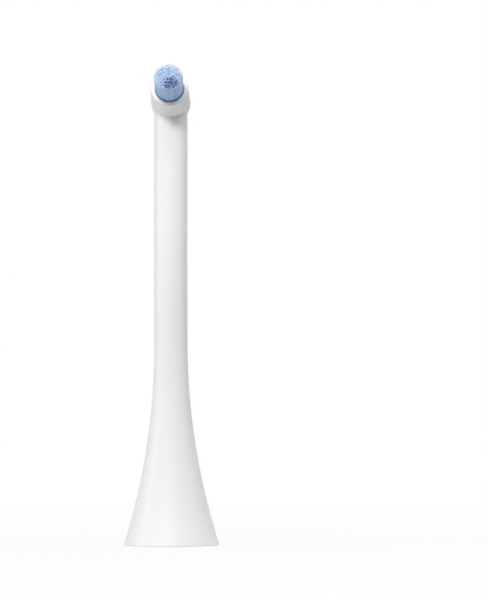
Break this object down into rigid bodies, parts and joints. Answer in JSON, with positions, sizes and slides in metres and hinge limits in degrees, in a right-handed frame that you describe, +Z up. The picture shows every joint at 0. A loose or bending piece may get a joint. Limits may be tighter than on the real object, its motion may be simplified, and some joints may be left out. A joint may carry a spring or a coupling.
{
  "type": "electric toothbrush head",
  "caption": "Single-tuft sonic toothbrush head: flared bell with a drive shaft bore, slim bent neck and a tilted cup holding one round tuft.",
  "frame": {"origin": "centre of the bell's rim plane, on the drive shaft's axis", "axes": "+Z up the neck, away from the handle; -Y the side that the tuft faces; +X to the right of the tuft seen from the front"},
  "size_m": [0.016, 0.016, 0.0801],
  "materials": {
    "body": "smooth white moulding",
    "tuft": "light blue filaments",
    "coupling": "natural moulded sleeve",
    "spring": "bright spring strip"
  },
  "bodies": {
    "root": {"brush_body": "body", "bristle_tuft": "tuft", "shaft_coupling": "coupling", "grip_spring": "spring"}
  },
  "joints": []
}
